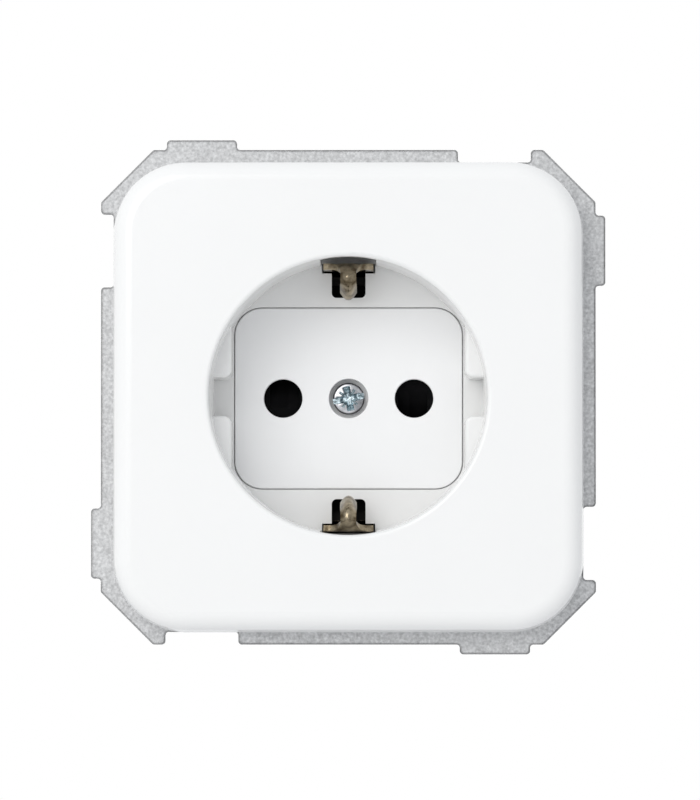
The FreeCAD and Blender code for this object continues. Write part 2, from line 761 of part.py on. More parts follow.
def shutter_spring():
    """Torsion spring about the insert's boss: one leg in the shutter, the other in the tray."""
    radius = number("spring_radius")
    height = number("spring_pitch * spring_turns")
    steps = round(number("spring_turns * spring_facets"))
    points = []
    for step in range(steps + 1):
        turn = 2 * math.pi * step / number("spring_facets")
        points.append(Vector(radius * math.cos(turn), radius * math.sin(turn), height * step / steps))
    shutter_leg = Vector(0, -number("spring_leg"), 0)
    tray_leg = Vector(0, 0, number(f"{TRAY_FRONT} - {SPRING_END} + tray_plate / 2"))
    points = [points[0] + shutter_leg] + points + [points[-1] + tray_leg]
    section = Part.Wire(Part.Circle(points[0], shutter_leg, number("spring_wire")).toShape())
    spring = DOC.addObject("Part::Feature", "shutter_spring")
    spring.Shape = Part.makePolygon(points).makePipeShell([section], True, False, 1)
    start_depth = number(SPRING_END) - height
    spring.Placement = Placement(Vector(0, start_depth, 0), Rotation(Vector(1, 0, 0), -90))
    PARTS["shutter_spring"] = spring


def contact_cover():
    """Tray behind the shutter: it closes the contact chambers and carries the shutter's four stops."""
    body = new_body("contact_cover")
    plate = new_sketch(body, at=TRAY_BACK)
    centred_rectangle(plate, TRAY_WIDTH, TRAY_HEIGHT, "tray_corner")
    pad(body, plate, "tray_plate")
    rim = new_sketch(body, at=TRAY_FRONT)
    centred_rectangle(rim, TRAY_WIDTH, TRAY_HEIGHT, "tray_corner")
    inner = (f"{TRAY_WIDTH} - 2 * tray_wall", f"{TRAY_HEIGHT} - 2 * tray_wall", "tray_corner - tray_wall")
    centred_rectangle(rim, *inner)
    pad(body, rim, f"{TRAY_FRONT} - {FLOOR_BACK} - tray_gap")
    pegs = new_sketch(body, at=TRAY_FRONT)
    beside = f"asin((stop_radius + stop_play) / {STOP_CIRCLE}) / 1deg"
    for angle in (f"(-shutter_trail - {beside})", f"(shutter_lead + shutter_travel + {beside})"):
        circle(pegs, "stop_radius", f"{STOP_CIRCLE} * cos({angle})", f"{STOP_CIRCLE} * sin({angle})")
    polar(body, [pad(body, pegs, "shutter_thickness")], 2)
    holes = new_sketch(body, at=TRAY_FRONT)
    circle(holes, "pin_radius + chamber_gap", PIN_PLACE)
    circle(holes, "pin_radius + chamber_gap", f"-{PIN_PLACE}")
    circle(holes, "screw_radius + screw_hole_gap")
    circle(holes, "spring_wire + spring_gap", "spring_radius")
    pocket(body, holes, "tray_plate")


def base_housing():
    """Deep moulding behind the wall, hollow for the well, the tray, the contacts and the terminals."""
    body = new_body("base_housing")
    block = new_sketch(body)
    centred_rectangle(block, f"2 * {BASE_HALF}", f"2 * {BASE_HALF}", "base_corner")
    pad(body, block, BASE_END, back=True)
    round_edges(body, "base_edge_round", lambda edge: at_depth(edge, number(BASE_END)))
    collar = new_sketch(body)
    circle(collar, f"{TUBE_RADIUS} + well_clearance + collar_wall")
    pad(body, collar, f"{CAVITY_END} + collar_floor", back=True)
    cavity = new_sketch(body)
    circle(cavity, f"{TUBE_RADIUS} + well_clearance")
    pocket(body, cavity, CAVITY_END)
    tray_seat = new_sketch(body, at=FLOOR_BACK)
    gap = "2 * tray_gap"
    centred_rectangle(tray_seat, f"{TRAY_WIDTH} + {gap}", f"{TRAY_HEIGHT} + {gap}", "tray_corner + tray_gap")
    pocket(body, tray_seat, f"{TRAY_BACK} - {FLOOR_BACK}")
    strap_channel(body)
    contact_chambers(body)
    terminal_windows(body)
    screw_holes = new_sketch(body)
    for sign_x in ("", "-"):
        for sign_z in ("", "-"):
            place = (f"{sign_x}{FRAME_SCREW_PLACE}", f"{sign_z}{FRAME_SCREW_PLACE}")
            circle(screw_holes, "frame_screw_radius + thread_gap", *place)
    pocket(body, screw_holes, "frame_screw_length + 4 * chamber_gap")
    wire_holes = new_sketch(body, at=CHAMBER_END)
    for sign in ("", "-"):
        beside = f"{sign}wire_hole_spacing / 2"
        circle(wire_holes, "wire_hole_radius", WIRE_PLACE, beside)
        circle(wire_holes, "wire_hole_radius", f"-{WIRE_PLACE}", beside)
        circle(wire_holes, "wire_hole_radius", beside, f"-{WIRE_PLACE}")
    pocket(body, wire_holes, "base_back")


def strap_channel(body):
    """Room for the earth bracket, its bush and the foot of the earth terminal."""
    channel = new_sketch(body, at=CAVITY_END)
    width = "earth_width + 2 * channel_gap"
    centred_rectangle(channel, width, f"2 * ({ARM_RADIUS} + channel_gap)")
    pocket(body, channel, f"{STRAP_BACK} - {CAVITY_END}")
    bush = new_sketch(body, at=STRAP_BACK)
    circle(bush, "bush_radius + channel_gap")
    pocket(body, bush, f"{SCREW_END} + chamber_gap - {STRAP_BACK}")
    foot = new_sketch(body, at=STRAP_BACK)
    side = "(foot_width / 2 + channel_gap)"
    rectangle(foot, f"-{side}", side, f"-{TAIL_FACE}", f"-({FOOT_START} - channel_gap)")
    pocket(body, foot, "tail_gauge + rivet_head_height + channel_gap")


def contact_chambers(body):
    """A chamber for each live contact, and behind the tray's edge a pocket for each tail plate."""
    chambers = new_sketch(body, at=TRAY_BACK)
    tails = new_sketch(body, at=TRAY_BACK)
    tail_start = f"({TAIL_PLACE} - channel_gap)"
    half_tail = "(tail_width / 2 + pocket_gap)"
    half_chamber = "chamber_height / 2"
    rectangle(chambers, "chamber_start", tail_start, f"-{half_chamber}", half_chamber)
    rectangle(chambers, f"-{tail_start}", "-chamber_start", f"-{half_chamber}", half_chamber)
    pocket(body, chambers, f"{CHAMBER_END} - {TRAY_BACK}")
    rectangle(tails, tail_start, WIRE_PLACE, f"-{half_tail}", half_tail)
    rectangle(tails, f"-{WIRE_PLACE}", f"-{tail_start}", f"-{half_tail}", half_tail)
    pocket(body, tails, f"{CHAMBER_END} - {TRAY_BACK}")
    earth_tail = new_sketch(body, at=CAVITY_END)
    rectangle(earth_tail, f"-{half_tail}", half_tail, f"-{WIRE_PLACE}", f"-{tail_start}")
    pocket(body, earth_tail, f"{CHAMBER_END} - {CAVITY_END}")
    screw_relief = new_sketch(body, at=TAIL_FRONT)
    half_relief = "(terminal_screw_radius + chamber_gap)"
    relief_end = f"({TAIL_PLACE} - terminal_screw_reach - chamber_gap)"
    rectangle(screw_relief, f"-{half_relief}", half_relief, f"-{tail_start}", f"-{relief_end}")
    pocket(body, screw_relief, "tail_length / 2 + terminal_screw_radius + chamber_gap")


def terminal_windows(body):
    """An opening through three sides of the block for each terminal's clamp and screw."""
    depth = f"{BASE_HALF} - {TAIL_FACE}"
    half = "(clamp_side / 2 + pocket_gap)"
    front = f"({TAIL_MIDDLE} - {half})"
    back = f"({TAIL_MIDDLE} + {half})"
    right = new_sketch(body, plane="YZ", at=BASE_HALF)
    rectangle(right, front, back, f"-{half}", half)
    pocket(body, right, depth)
    left = new_sketch(body, plane="YZ", at=f"-{BASE_HALF}")
    rectangle(left, front, back, f"-{half}", half)
    pocket(body, left, depth, front=True)
    below = new_sketch(body, plane="XY", at=f"-{BASE_HALF}")
    rectangle(below, f"-{half}", half, front, back)
    pocket(body, below, depth, front=True)


def turn_about_axis(body, degrees):
    """Turn a finished sub-part about the Y axis to its own side of the base."""
    body.Placement = Placement(Vector(), Rotation(Vector(0, 1, 0), degrees))


def live_contact(label, degrees):
    """Bent strip: a split sleeve that grips the pin, two leaves and the terminal's tail plate."""
    body = new_body(label)
    sleeve = new_sketch(body, at=SLEEVE_FRONT)
    circle(sleeve, "contact_bore + contact_gauge", PIN_PLACE)
    circle(sleeve, "contact_bore", PIN_PLACE)
    pad(body, sleeve, "contact_length", back=True)
    leaves = new_sketch(body, at=SLEEVE_FRONT)
    outer = "(contact_bore + contact_gauge)"
    rectangle(leaves, PIN_PLACE, TAIL_PLACE, "contact_bore", outer)
    rectangle(leaves, PIN_PLACE, TAIL_PLACE, f"-{outer}", "-contact_bore")
    pad(body, leaves, "contact_length", back=True)
    splits = new_sketch(body, at=SLEEVE_FRONT)
    half = "contact_mouth / 2"
    rectangle(splits, f"{PIN_PLACE} - 2 * contact_bore", PIN_PLACE, f"-{half}", half)
    past_sleeve = f"{PIN_PLACE} + 2 * contact_bore"
    rectangle(splits, f"{PIN_PLACE} + {half}", past_sleeve, "-contact_bore", "contact_bore")
    pocket(body, splits, "contact_length")
    tail_plate(body)
    turn_about_axis(body, degrees)


def tail_plate(body):
    """The flat terminal end across the leaves, tapped for the terminal screw."""
    tail = new_sketch(body, at=TAIL_FRONT)
    rectangle(tail, TAIL_PLACE, TAIL_FACE, "-tail_width / 2", "tail_width / 2")
    pad(body, tail, "tail_length", back=True)
    thread = new_sketch(body, plane="YZ", at=TAIL_FACE)
    circle(thread, "terminal_screw_radius + thread_gap", TAIL_MIDDLE)
    pocket(body, thread, "tail_gauge")


def earth_bracket():
    """One bent strip across the base, whose ends rise through the well's floor as the earth clips."""
    body = new_body("earth_bracket")
    section = new_sketch(body, plane="XY")
    rectangle(section, "-earth_width / 2", "earth_width / 2", TRAY_BACK, STRAP_BACK)
    half = "earth_gauge / 2"
    arm = f"({ARM_RADIUS} - {half})"
    corners = [
        (f"{TRAY_BACK} + {half}", "0"),
        (f"{TRAY_BACK} + {half}", arm, "earth_bend"),
        (f"{FACE} + earth_shoulder_drop", arm, "earth_bend"),
        (f"{FACE} + earth_knee_drop", f"{ARM_RADIUS} - earth_knee_reach", "earth_knee_bend"),
        (f"{FACE} + earth_contact_drop", f"{CONTACT_RADIUS} + {half}", "earth_contact_bend"),
        (f"{FACE} + earth_tail_drop", f"{ARM_RADIUS} - earth_tail_reach"),
    ]
    path = new_sketch(body, plane="YZ")
    open_path(path, corners)
    strip = body.newObject("PartDesign::AdditivePipe", "earth_bracket_strip")
    strip.Profile = section
    strip.Spine = (path, [])
    body.Tip = strip
    flanks = new_sketch(body, at=f"({FACE} + earth_flank_drop)")
    side = "earth_tongue_width / 2"
    nose = "earth_nose_width / 2"
    shoulder = f"({ARM_RADIUS} - earth_gauge)"
    for sign in ("", "-"):
        polygon(
            flanks,
            [
                (f"{sign}{nose}", f"{CONTACT_RADIUS} - earth_gauge"),
                (f"{sign}earth_width", f"{CONTACT_RADIUS} - earth_gauge"),
                (f"{sign}earth_width", shoulder),
                (f"{sign}{side}", shoulder, "earth_flare"),
                (f"{sign}{side}", f"{CONTACT_RADIUS} + earth_gauge", "earth_flare"),
                (f"{sign}{nose}", f"{CONTACT_RADIUS} - earth_gauge / 4"),
            ],
        )
    cut = pocket(body, flanks, f"{TRAY_BACK} - {FACE} - earth_flank_drop - earth_gauge")
    mirrored(body, [strip, cut], "XY")
    holes = new_sketch(body, at=TRAY_BACK)
    circle(holes, "bush_neck_radius + thread_gap")
    circle(holes, "rivet_radius + thread_gap", "0", f"-{RIVET_PLACE}")
    pocket(body, holes, "earth_gauge")


def open_path(sketch, corners):
    """An open line through (x, y) or (x, y, bend) corners."""
    points = [Vector(number(corner[0]), number(corner[1]), 0) for corner in corners]
    curves = []
    for first, second in zip(points, points[1:]):
        curves.append(sketch.addGeometry(Part.LineSegment(first, second)))
    for curve, following in zip(curves, curves[1:]):
        sketch.addConstraint(Sketcher.Constraint("Coincident", curve, 2, following, 1))
    for curve, corner in zip(curves, corners):
        pin_point(sketch, curve, 1, corner[0], corner[1])
    pin_point(sketch, curves[-1], 2, corners[-1][0], corners[-1][1])
    for curve, corner in zip(curves, corners):
        if len(corner) > 2:
            round_corner(sketch, curve, 1, corner[2])


def centre_bush():
    """Threaded bush riveted into the middle of the earth bracket, for the centre screw."""
    body = new_body("centre_bush")
    barrel = new_sketch(body, at=STRAP_BACK)
    circle(barrel, "bush_radius")
    pad(body, barrel, "bush_length", back=True)
    neck = new_sketch(body, at=STRAP_BACK)
    circle(neck, "bush_neck_radius")
    pad(body, neck, "earth_gauge")
    thread = new_sketch(body, at=TRAY_BACK)
    circle(thread, "screw_radius + thread_gap")
    pocket(body, thread, "earth_gauge + bush_length")


def earth_terminal_plate():
    """Angle riveted to the earth bracket: a foot on the strap and the tapped tail plate."""
    body = new_body("earth_terminal_plate")
    foot = new_sketch(body, at=STRAP_BACK)
    rectangle(foot, FOOT_START, TAIL_FACE, "-foot_width / 2", "foot_width / 2")
    pad(body, foot, "tail_gauge", back=True)
    tail_plate(body)
    rivet_hole = new_sketch(body, at=STRAP_BACK)
    circle(rivet_hole, "rivet_radius + thread_gap", RIVET_PLACE)
    pocket(body, rivet_hole, "tail_gauge")
    turn_about_axis(body, 90)


def strap_rivet():
    """Rivet that joins the earth terminal's foot to the bracket, flush with the bracket's front."""
    body = new_body("strap_rivet")
    shank = new_sketch(body, at=TRAY_BACK)
    circle(shank, "rivet_radius", "0", f"-{RIVET_PLACE}")
    pad(body, shank, "earth_gauge + tail_gauge", back=True)
    head = new_sketch(body, at=TAIL_FRONT)
    circle(head, "rivet_head_radius", "0", f"-{RIVET_PLACE}")
    pad(body, head, "rivet_head_height", back=True)
    head_back = number(f"{TAIL_FRONT} + rivet_head_height")
    round_edges(body, "rivet_head_round", lambda edge: at_depth(edge, head_back))


def wire_clamp(label, degrees):
    """Clamp plate with a lip along each edge, which presses two wires on the tail plate."""
    body = new_body(label)
    plate = new_sketch(body, plane="YZ", at=CLAMP_PLACE)
    half = "clamp_side / 2"
    front = f"({TAIL_MIDDLE} - {half})"
    back = f"({TAIL_MIDDLE} + {half})"
    rectangle(plate, front, back, f"-{half}", half, "clamp_corner")
    pad(body, plate, "clamp_gauge")
    lips = new_sketch(body, plane="YZ", at=CLAMP_PLACE)
    for sign in ("", "-"):
        edges = (f"{sign}({half} - clamp_gauge)", f"{sign}{half}")
        rectangle(lips, f"{front} + clamp_corner", f"{back} - clamp_corner", *edges)
    pad(body, lips, "clamp_lip", back=True)
    hole = new_sketch(body, plane="YZ", at=HEAD_PLACE)
    circle(hole, "terminal_screw_radius + screw_hole_gap", TAIL_MIDDLE)
    pocket(body, hole, "clamp_gauge")
    turn_about_axis(body, degrees)


def terminal_screw(label, degrees):
    """Cheese head screw with a slot, through the clamp and into the tail plate."""
    body = new_body(label)
    head = new_sketch(body, plane="YZ", at=HEAD_PLACE)
    circle(head, "terminal_head_radius", TAIL_MIDDLE)
    pad(body, head, "terminal_head_height")
    shank = new_sketch(body, plane="YZ", at=HEAD_PLACE)
    circle(shank, "terminal_screw_radius", TAIL_MIDDLE)
    pad(body, shank, f"{HEAD_PLACE} - {TAIL_PLACE} + terminal_screw_reach", back=True)
    slot_cut = new_sketch(body, plane="YZ", at=f"({HEAD_PLACE} + terminal_head_height)")
    rectangle(
        slot_cut,
        f"{TAIL_MIDDLE} - 2 * terminal_head_radius",
        f"{TAIL_MIDDLE} + 2 * terminal_head_radius",
        "-terminal_slot_width / 2",
        "terminal_slot_width / 2",
    )
    pocket(body, slot_cut, "terminal_head_height / 2")
    turn_about_axis(body, degrees)


def frame_screws():
    """The four screws that hold the base behind the frame."""
    body = new_body("frame_screws")
    place = (FRAME_SCREW_PLACE, FRAME_SCREW_PLACE)
    head = new_sketch(body, at="-frame_sheet")
    circle(head, "frame_screw_head", *place)
    head_pad = pad(body, head, "frame_screw_head_height")
    shank = new_sketch(body, at="-frame_sheet")
    circle(shank, "frame_screw_radius", *place)
    shank_pad = pad(body, shank, "frame_sheet + frame_screw_length", back=True)
    drive = new_sketch(body, at="-(frame_sheet + frame_screw_head_height)")
    slot(drive, *place, "1.5 * frame_screw_head", "terminal_slot_width", False)
    drive_cut = pocket(body, drive, "frame_screw_head_height / 2")
    polar(body, [head_pad, shank_pad, drive_cut], 4)


def main():
    fill_sheet()
    support_frame()
    cover()
    face_insert()
    centre_screw()
    shutter()
    shutter_spring()
    contact_cover()
    base_housing()
    earth_bracket()
    centre_bush()
    earth_terminal_plate()
    strap_rivet()
    for name, degrees in (("neutral", 0), ("line", 180), ("earth", 90)):
        if name != "earth":
            live_contact(f"{name}_contact", degrees)
        wire_clamp(f"{name}_clamp", degrees)
        terminal_screw(f"{name}_terminal_screw", degrees)
    frame_screws()
    export()


def export():
    """Check every object, then write each sub-part to its own file."""
    DOC.recompute()
    for item in DOC.Objects:
        if "Invalid" in item.State or "Error" in item.State:
            raise RuntimeError(f"{item.Label} failed: {item.State}")
    for cut in CUTS:
        if cut.BaseFeature.Shape.Volume - cut.Shape.Volume < 1e-6:
            raise RuntimeError(f"{cut.Label} removes nothing")
    os.makedirs("parts", exist_ok=True)
    for label, item in PARTS.items():
        shape = item.Shape
        if shape.isNull() or not shape.isValid() or not shape.Solids:
            raise RuntimeError(f"{label} has no valid shape")
        shape.exportStep(f"parts/{label}.step")
        print(label, len(shape.Solids), round(shape.Volume, 3))


main()
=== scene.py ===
"""Type F wall socket: finishes, finely modelled front pieces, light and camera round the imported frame.

Everything is in metres in the row's frame: +Z is up, the socket's front faces -Y and the wall plane is y = 0.
"""

import logging
import math
from dataclasses import dataclass, field
from enum import Enum
from typing import Callable

import bmesh
import bpy
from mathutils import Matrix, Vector


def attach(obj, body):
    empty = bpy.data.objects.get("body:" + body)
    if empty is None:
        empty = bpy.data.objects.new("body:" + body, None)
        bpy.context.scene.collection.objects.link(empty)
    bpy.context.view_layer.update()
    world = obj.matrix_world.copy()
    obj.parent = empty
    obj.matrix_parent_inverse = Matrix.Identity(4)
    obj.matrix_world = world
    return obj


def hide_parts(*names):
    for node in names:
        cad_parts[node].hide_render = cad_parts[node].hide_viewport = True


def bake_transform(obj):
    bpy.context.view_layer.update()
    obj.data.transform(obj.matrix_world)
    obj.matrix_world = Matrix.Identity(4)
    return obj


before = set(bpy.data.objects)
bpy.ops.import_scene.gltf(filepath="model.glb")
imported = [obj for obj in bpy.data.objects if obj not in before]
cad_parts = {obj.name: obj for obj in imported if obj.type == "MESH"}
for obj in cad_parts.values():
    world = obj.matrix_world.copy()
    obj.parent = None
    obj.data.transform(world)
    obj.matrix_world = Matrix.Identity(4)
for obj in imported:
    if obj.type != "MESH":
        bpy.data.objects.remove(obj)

MM = 0.001
TOUCH = 0.001 * MM
LOG = logging.getLogger("wall_socket")


class Grain(Enum):
    """Where a surface gets its small relief from: a polished mould, a spark eroded mould or a roll."""

    MOULDED = "moulded"
    ERODED = "eroded"
    ROLLED = "rolled"

    @property
    def detail(self) -> float:
        """How many layers the relief's noise has."""
        return 1.5 if self is Grain.MOULDED else 4.0


@dataclass(frozen=True)
class Finish:
    """One finish: a colour that varies a little, a roughness that varies a little, and a fine relief.

    Scales are features per metre, and depths are metres. The edge_turn is how alike a rounded and a flat
    normal are where the darkening towards the edge colour starts, and where it is full.
    """

    name: str
    color: tuple[float, float, float]
    shade: tuple[float, float, float]
    roughness: tuple[float, float]
    grain: Grain
    metallic: float = 0.0
    patch_scale: float = 60.0
    patch_detail: float = 5.0
    relief_scale: float = 900.0
    relief_depth: float = 0.00001
    relief_strength: float = 0.2
    contrast: float = 2.0
    edge_width: float = 0.0
    edge_color: tuple[float, float, float] = (0.1, 0.1, 0.1)
    edge_turn: tuple[float, float] = (0.99, 0.88)
    ior: float = 1.46
    stretch: tuple[float, float, float] = (1.0, 1.0, 1.0)

    def material(self) -> bpy.types.Material:
        """Build the finish's material once and hand it out again later.

        Returns:
            The material with this finish's name.
        """
        known = bpy.data.materials.get(self.name)
        if known is not None:
            return known
        material = bpy.data.materials.new(self.name)
        material.use_nodes = True
        nodes = material.node_tree.nodes
        links = material.node_tree.links
        shader = nodes["Principled BSDF"]
        shader.inputs["Metallic"].default_value = self.metallic
        shader.inputs["IOR"].default_value = self.ior
        place = nodes.new("ShaderNodeTexCoord")
        spread = nodes.new("ShaderNodeMapping")
        spread.inputs["Scale"].default_value = self.stretch
        links.new(place.outputs["Object"], spread.inputs["Vector"])
        share = self._share(material, spread)
        tint = self._tint(material, share)
        if self.edge_width:
            tint = self._edges(material, tint)
        links.new(tint.outputs["Result"], shader.inputs["Base Color"])
        gloss = nodes.new("ShaderNodeMapRange")
        gloss.inputs["To Min"].default_value = self.roughness[0]
        gloss.inputs["To Max"].default_value = self.roughness[1]
        links.new(share.outputs["Result"], gloss.inputs["Value"])
        links.new(gloss.outputs["Result"], shader.inputs["Roughness"])
        links.new(self._relief(material, spread).outputs["Normal"], shader.inputs["Normal"])
        return material

    def _share(self, material: bpy.types.Material, spread: bpy.types.Node) -> bpy.types.Node:
        """Lay soft patches over the piece.

        Args:
            material: the material whose node tree gets the nodes.
            spread: the node that gives the place on the piece.

        Returns:
            The node whose result is how far a place is from the shade towards the colour.
        """
        nodes = material.node_tree.nodes
        links = material.node_tree.links
        patches = nodes.new("ShaderNodeTexNoise")
        patches.inputs["Scale"].default_value = self.patch_scale
        patches.inputs["Detail"].default_value = self.patch_detail
        links.new(spread.outputs["Vector"], patches.inputs["Vector"])
        share = nodes.new("ShaderNodeMapRange")
        share.inputs["From Min"].default_value = 0.5 - 0.5 / self.contrast
        share.inputs["From Max"].default_value = 0.5 + 0.5 / self.contrast
        links.new(patches.outputs[0], share.inputs["Value"])
        return share

    def _tint(self, material: bpy.types.Material, share: bpy.types.Node) -> bpy.types.Node:
        """Mix the shade and the colour.

        Args:
            material: the material whose node tree gets the node.
            share: the node whose result is the colour's share.

        Returns:
            The node whose result is the colour at each place.
        """
        tint = material.node_tree.nodes.new("ShaderNodeMix")
        tint.data_type = "RGBA"
        tint.inputs["A"].default_value = (*self.shade, 1.0)
        tint.inputs["B"].default_value = (*self.color, 1.0)
        material.node_tree.links.new(share.outputs["Result"], tint.inputs["Factor"])
        return tint

    def _relief(self, material: bpy.types.Material, spread: bpy.types.Node) -> bpy.types.Node:
        """Give the surface its fine relief.

        Args:
            material: the material whose node tree gets the nodes.
            spread: the node that gives the place on the piece.

        Returns:
            The node whose normal has the relief in it.
        """
        nodes = material.node_tree.nodes
        links = material.node_tree.links
        relief = nodes.new("ShaderNodeTexNoise")
        relief.inputs["Scale"].default_value = self.relief_scale
        relief.inputs["Detail"].default_value = self.grain.detail
        links.new(spread.outputs["Vector"], relief.inputs["Vector"])
        bump = nodes.new("ShaderNodeBump")
        bump.inputs["Strength"].default_value = self.relief_strength
        bump.inputs["Distance"].default_value = self.relief_depth
        links.new(relief.outputs[0], bump.inputs["Height"])
        return bump

    def _edges(self, material: bpy.types.Material, tint: bpy.types.Node) -> bpy.types.Node:
        """Darken the sharp edges, such as sheared ones, towards the edge colour close to them.

        Args:
            material: the material whose node tree gets the nodes.
            tint: the node whose result is the colour away from the edges.

        Returns:
            The node whose result is the colour with the edges in it.
        """
        nodes = material.node_tree.nodes
        links = material.node_tree.links
        rounded = nodes.new("ShaderNodeBevel")
        rounded.inputs["Radius"].default_value = self.edge_width
        flat = nodes.new("ShaderNodeNewGeometry")
        alike = nodes.new("ShaderNodeVectorMath")
        alike.operation = "DOT_PRODUCT"
        links.new(rounded.outputs["Normal"], alike.inputs[0])
        links.new(flat.outputs["True Normal"], alike.inputs[1])
        near = nodes.new("ShaderNodeMapRange")
        near.inputs["From Min"].default_value = self.edge_turn[0]
        near.inputs["From Max"].default_value = self.edge_turn[1]
        links.new(alike.outputs["Value"], near.inputs["Value"])
        edged = nodes.new("ShaderNodeMix")
        edged.data_type = "RGBA"
        edged.inputs["B"].default_value = (*self.edge_color, 1.0)
        links.new(near.outputs["Result"], edged.inputs["Factor"])
        links.new(tint.outputs["Result"], edged.inputs["A"])
        return edged


COVER_WHITE = Finish(
    "glossy_white_cover",
    color=(0.875, 0.875, 0.868),
    shade=(0.862, 0.862, 0.855),
    roughness=(0.16, 0.22),
    grain=Grain.MOULDED,
    patch_scale=35.0,
    relief_scale=260.0,
    relief_depth=0.00002,
    relief_strength=0.12,
)
INSERT_WHITE = Finish(
    "matt_white_insert",
    color=(0.94, 0.942, 0.945),
    shade=(0.92, 0.922, 0.925),
    roughness=(0.5, 0.6),
    grain=Grain.ERODED,
    patch_scale=90.0,
    relief_scale=5200.0,
    relief_depth=0.00002,
    relief_strength=0.25,
)
SHUTTER_BLACK = Finish(
    "black_shutter",
    color=(0.006, 0.006, 0.0065),
    shade=(0.003, 0.003, 0.0035),
    roughness=(0.3, 0.42),
    grain=Grain.ERODED,
    patch_scale=150.0,
    relief_scale=4000.0,
    relief_strength=0.3,
    ior=1.1,
)
TRAY_BLACK = Finish(
    "black_contact_cover",
    color=(0.012, 0.0115, 0.011),
    shade=(0.006, 0.006, 0.006),
    roughness=(0.45, 0.58),
    grain=Grain.ERODED,
    relief_scale=3000.0,
    relief_strength=0.3,
    ior=1.18,
)
BASE_GREY = Finish(
    "light_grey_base",
    color=(0.7, 0.7, 0.68),
    shade=(0.655, 0.655, 0.635),
    roughness=(0.42, 0.55),
    grain=Grain.ERODED,
    patch_scale=70.0,
    relief_scale=2600.0,
    relief_depth=0.00003,
    relief_strength=0.35,
)
FRAME_ZINC = Finish(
    "galvanised_sheet",
    color=(0.81, 0.812, 0.815),
    shade=(0.46, 0.462, 0.466),
    roughness=(0.62, 0.76),
    grain=Grain.ROLLED,
    metallic=1.0,
    patch_scale=2600.0,
    relief_scale=4600.0,
    relief_depth=0.00006,
    relief_strength=0.7,
    contrast=2.2,
    # The frame's sharp edges are darkened towards near black within this width.
    edge_width=0.0006,
    edge_color=(0.05, 0.05, 0.052),
)
# Zinc of the screw's head: its large light and dark patches are painted sheen, standing in for how the turned
# head's parts reflect the light.
SCREW_ZINC_SHEEN = Finish(
    "zinc_screw_painted_sheen",
    color=(0.66, 0.665, 0.69),
    shade=(0.26, 0.265, 0.275),
    roughness=(0.2, 0.34),
    grain=Grain.ROLLED,
    metallic=1.0,
    patch_scale=420.0,
    relief_scale=3500.0,
    relief_strength=0.3,
    contrast=4.0,
)
CLAMP_ZINC = Finish(
    "plain_zinc_clamp",
    color=(0.64, 0.645, 0.66),
    shade=(0.5, 0.505, 0.52),
    roughness=(0.3, 0.42),
    grain=Grain.ROLLED,
    metallic=1.0,
    patch_scale=900.0,
    relief_scale=2600.0,
    relief_strength=0.3,
)
# Cross recess and slot: the bright bluish colour is a painted glint off the recess facets, broken by random
# dark patches.
SCREW_RECESS_GLINT = Finish(
    "painted_glint_screw_recess",
    color=(0.7, 0.81, 0.86),
    shade=(0.13, 0.18, 0.2),
    roughness=(0.1, 0.24),
    grain=Grain.ROLLED,
    metallic=1.0,
    patch_scale=1900.0,
    relief_scale=2300.0,
    relief_depth=0.0002,
    relief_strength=0.9,
    contrast=4.0,
)
# Near black zinc for the head's steep rim and the shank: painted shade for the dark line round the head.
SCREW_SIDE_SHADE = Finish(
    "painted_shade_screw_side",
    color=(0.14, 0.14, 0.15),
    shade=(0.07, 0.07, 0.075),
    roughness=(0.35, 0.5),
    grain=Grain.ROLLED,
    metallic=1.0,
    patch_scale=700.0,
)
SPRING_STEEL = Finish(
    "drawn_spring_wire",
    color=(0.52, 0.52, 0.53),
    shade=(0.4, 0.4, 0.41),
    roughness=(0.25, 0.4),
    grain=Grain.ROLLED,
    metallic=1.0,
    patch_scale=500.0,
)
# Nickel plated strap: its dark brownish colour is a painted reflection of the dark side in front of the
# socket.
CLIP_NICKEL_REFLECTION = Finish(
    "nickel_strap_painted_reflection",
    color=(0.42, 0.355, 0.25),
    shade=(0.1, 0.076, 0.046),
    roughness=(0.13, 0.26),
    grain=Grain.ROLLED,
    metallic=1.0,
    patch_scale=800.0,
    relief_scale=1300.0,
    relief_depth=0.00008,
    relief_strength=0.6,
    contrast=3.0,
)
CONTACT_BRASS = Finish(
    "rolled_brass",
    color=(0.78, 0.6, 0.3),
    shade=(0.62, 0.45, 0.2),
    roughness=(0.24, 0.38),
    grain=Grain.ROLLED,
    metallic=1.0,
    patch_scale=160.0,
    relief_scale=1800.0,
    stretch=(1.0, 0.25, 1.0),
)


@dataclass
class PlainNodes:
    """Nodes of the frame that keep their own shape and only get a finish."""

    finishes: dict[str, Finish] = field(
        default_factory=lambda: {
            "cover": COVER_WHITE,
            "face_insert": INSERT_WHITE,
            "shutter": SHUTTER_BLACK,
            "contact_cover": TRAY_BLACK,
            "base_housing": BASE_GREY,
            "support_frame": FRAME_ZINC,
            "frame_screws": CLAMP_ZINC,
            "centre_bush": CONTACT_BRASS,
            "earth_terminal_plate": CONTACT_BRASS,
            "strap_rivet": CONTACT_BRASS,
            "line_contact": CONTACT_BRASS,
            "neutral_contact": CONTACT_BRASS,
            "line_clamp": CLAMP_ZINC,
            "neutral_clamp": CLAMP_ZINC,
            "earth_clamp": CLAMP_ZINC,
            "line_terminal_screw": CLAMP_ZINC,
            "neutral_terminal_screw": CLAMP_ZINC,
            "earth_terminal_screw": CLAMP_ZINC,
        }
    )

    def dress(self) -> None:
        """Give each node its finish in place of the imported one."""
        for name, finish in self.finishes.items():
            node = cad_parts[name]
            node.data.materials.clear()
            node.data.materials.append(finish.material())


def deselect() -> None:
    """Leave no object selected, so that an operator acts only on what is picked next."""
    for item in bpy.context.selected_objects:
        item.select_set(False)


def pick(piece: bpy.types.Object) -> None:
    """Select one object alone and make it the active one.

    Args:
        piece: the object.
    """
    deselect()
    piece.select_set(True)
    bpy.context.view_layer.objects.active = piece


